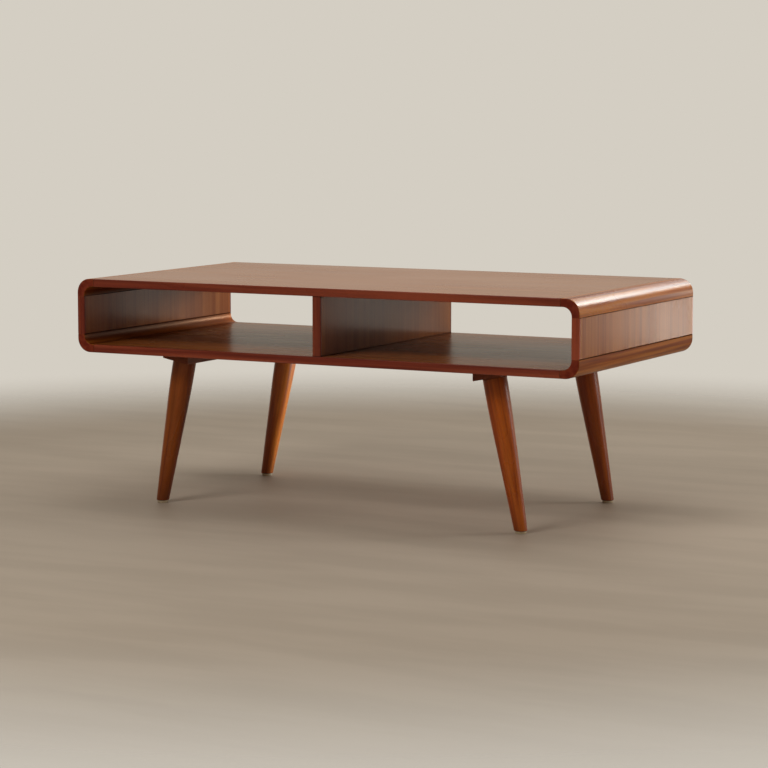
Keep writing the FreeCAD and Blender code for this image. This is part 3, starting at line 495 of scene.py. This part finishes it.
def plastic(name, tone, scuffed):
    """Moulded plastic with a fine texture and scuffed rims."""
    material, graph, shader = new_material(name)
    place = graph.own_place()
    texture = graph.noise(graph.even(place, MOULD_SIZE), detail=2.0)
    scuffs = graph.noise(graph.even(place, SCUFF_SIZE))
    surface = graph.blend(graph.spread(scuffs, *SCUFF_RANGE, 0.0, SCUFF_SHARE), tone, scuffed)
    rim = graph.multiply(graph.edge_share(RIM_RADIUS), RIM_SHARE)
    graph.feed(shader.inputs["Base Color"], graph.blend(rim, surface, scuffed))
    graph.feed(shader.inputs["Roughness"], graph.spread(texture, *MOULD_RANGE, *MOULD_ROUGHNESS))
    graph.feed(shader.inputs["Normal"], graph.bump(texture, MOULD_BUMP, MOULD_DEPTH))
    return material


def shaded(tones, share):
    """The tones with every channel made lighter or darker by one share."""
    return Tones(*[(red * share, green * share, blue * share, 1.0) for red, green, blue, _ in tones])


def dress(material, *names):
    """Gives each named node the material."""
    for name in names:
        slots = nodes[name].data.materials
        slots.clear()
        slots.append(material)


def dress_case():
    """The boards, their edges and the corners, each with the grain along its own length."""
    dress(wood("top_grain_across", "X", BOARD_TONES, VENEER, SMOOTH), "top_panel")
    dress(wood("shelf_grain_across", "X", BOARD_TONES, VENEER, SHELF_SATIN), "shelf_panel")
    dress(wood("divider_grain_up", "Z", BOARD_TONES, PLAIN_VENEER, SATIN), "centre_divider")
    dress(wood("left_end_grain_up", "Z", END_TONES, LINED_VENEER, SATIN), "left_end_panel")
    dress(wood("right_end_grain_up", "Z", END_TONES, LINED_VENEER, EGGSHELL), "right_end_panel")
    flat_edges = [f"{board}_{end}_lipping" for board in ("top", "shelf") for end in ENDS]
    dress(wood("edge_grain_across", "X", EDGE_TONES, SOLID, POLISHED), *flat_edges)
    # Each upright edge is a lighter or darker copy of the edge wood, partly tone that differs between
    # pieces and partly painted light and shade
    for board, shade in EDGE_TONE_AND_PAINTED_LIGHT.items():
        edge = wood(f"{board}_edge_grain_up", "Z", shaded(EDGE_TONES, shade), SOLID, POLISHED)
        dress(edge, *[f"{board}_{end}_lipping" for end in ENDS])
    # The lower corners are a darker copy of the corner wood, as painted shade
    for level, (shade, gloss) in CORNER_PAINTED_SHADES_AND_FINISHES.items():
        name = f"{level}_corner_grain_deep"
        tones = shaded(CORNER_TONES, shade)
        corner = wood(name, "Y", tones, CORNER_FIGURE, gloss, end_tones=EDGE_TONES)
        dress(corner, *[f"corner_{level}_{side}" for side in SIDES])


def dress_base():
    """The legs, the rails that carry them and the glides."""
    # Each leg is a lighter or darker copy of the leg wood, partly its own tone and partly painted light
    for leg, shade in LEG_TONE_AND_PAINTED_LIGHT.items():
        lean = LEG_LEAN if leg.endswith("left") else -LEG_LEAN
        tones = shaded(LEG_TONES, shade)
        dress(wood(f"leg_grain_{leg}", "Z", tones, LEG_FIGURE, POLISHED, lean=lean), f"{leg}_leg")
    rails = [f"{side}_leg_rail" for side in SIDES]
    dress(wood("rail_grain", "Y", RAIL_TONES, SOLID, MATT), *rails)
    glides = [f"{end}_{side}_glide" for end in ENDS for side in SIDES]
    dress(plastic("glide_nylon", NYLON_TONE, NYLON_SCUFF), *glides)


def dress_fittings():
    """The dowels, screws, bolts, nails and inserts."""
    across = wood("dowel_across", "X", DOWEL_TONES, BEECH, BARE)
    dress(across, "top_joint_dowels", "shelf_joint_dowels")
    upright = wood("dowel_up", "Z", DOWEL_TONES, BEECH, BARE)
    dress(upright, "end_joint_dowels", "divider_dowels")
    zinc = metal("zinc_plate", ZINC_TONE, ZINC_STAIN, ZINC_ROUGHNESS)
    dress(zinc, "divider_screws", "rail_screws", "leg_hanger_bolts", "glide_nails")
    dress(metal("brass", BRASS_TONE, BRASS_STAIN, BRASS_ROUGHNESS), "leg_bolt_inserts")


def floor_paint():
    """Pale paint, faintly clouded, that turns clear away from the table."""
    material, graph, shader = new_material("floor_paint")
    place = graph.node("TexCoord").outputs["Object"]
    clouds = graph.noise(graph.stretched(place, "X", FLOOR_CLOUD_LENGTH, FLOOR_CLOUD_WIDTH))
    tone = graph.blend(graph.spread(clouds, *FLOOR_CLOUD_RANGE), *FLOOR_TONES)
    graph.feed(shader.inputs["Base Color"], tone)
    shader.inputs["Roughness"].default_value = FLOOR_ROUGHNESS
    far = graph.node("VectorMath", {"operation": "LENGTH"}, {0: place}).outputs["Value"]
    clear = graph.node("BsdfTransparent").outputs["BSDF"]
    inputs = {0: graph.spread(far, *FLOOR_FADE), 1: shader.outputs["BSDF"], 2: clear}
    mixed = graph.node("MixShader", None, inputs).outputs["Shader"]
    graph.feed(material.node_tree.nodes["Material Output"].inputs["Surface"], mixed)
    return material


def add_floor():
    """A plain pale floor that fades into the backdrop away from the table."""
    mesh = bpy.data.meshes.new("floor")
    shape = bmesh.new()
    bmesh.ops.create_circle(shape, cap_ends=True, segments=FLOOR_SIDES, radius=FLOOR_RADIUS)
    shape.to_mesh(mesh)
    shape.free()
    mesh.materials.append(floor_paint())
    floor = bpy.data.objects.new("floor", mesh)
    bpy.context.scene.collection.objects.link(floor)


def add_world():
    """A plain pale backdrop that lights the table softly, most of all from behind."""
    world = bpy.data.worlds.new("backdrop")
    world.use_nodes = True
    bpy.context.scene.world = world
    graph = Graph(world.node_tree)
    behind = graph.dot(graph.node("TexCoord").outputs["Generated"], REAR_DIRECTION)
    strength = graph.spread(behind, *REAR_RANGE, EVEN_LIGHT, EVEN_LIGHT + REAR_LIGHT)
    background = world.node_tree.nodes["Background"]
    background.inputs["Color"].default_value = BACKDROP_LIGHT
    graph.feed(background.inputs["Strength"], strength)
    seen = graph.node("Background", None, {"Color": BACKDROP_SEEN}).outputs["Background"]
    from_camera = graph.node("LightPath").outputs["Is Camera Ray"]
    inputs = {0: from_camera, 1: background.outputs["Background"], 2: seen}
    both = graph.node("MixShader", None, inputs).outputs["Shader"]
    graph.feed(world.node_tree.nodes["World Output"].inputs["Surface"], both)


def add_softbox(name, softbox):
    """An area light that faces its target, lights only its pieces if it has any, and isn't seen."""
    light = bpy.data.lights.new(name, "AREA")
    light.shape = "RECTANGLE"
    light.size, light.size_y = softbox.size
    light.energy = softbox.power
    light.color = softbox.tint
    lamp = bpy.data.objects.new(name, light)
    lamp.location = softbox.place
    direction = Vector(softbox.target) - Vector(softbox.place)
    lamp.rotation_euler = direction.to_track_quat("-Z", "Y").to_euler()
    lamp.visible_camera = False
    bpy.context.scene.collection.objects.link(lamp)
    if softbox.pieces:
        lit = bpy.data.collections.new(f"lit_by_{name}")
        for piece in softbox.pieces:
            lit.objects.link(nodes[piece])
        lamp.light_linking.receiver_collection = lit


def add_camera():
    """The camera at the photo's viewing angle."""
    data = bpy.data.cameras.new("camera")
    data.lens = CAMERA_LENS_MM
    data.sensor_width = CAMERA_SENSOR_MM
    camera = bpy.data.objects.new("camera", data)
    camera.location = CAMERA_PLACE
    camera.rotation_euler = (math.pi / 2 - CAMERA_PITCH, 0.0, CAMERA_TURN)
    bpy.context.scene.collection.objects.link(camera)
    bpy.context.scene.camera = camera


dress_case()
dress_base()
dress_fittings()
add_floor()
add_world()
for softbox_name, facts in SOFTBOXES.items():
    add_softbox(softbox_name, facts)
add_camera()
bpy.context.scene.view_settings.view_transform = "Standard"
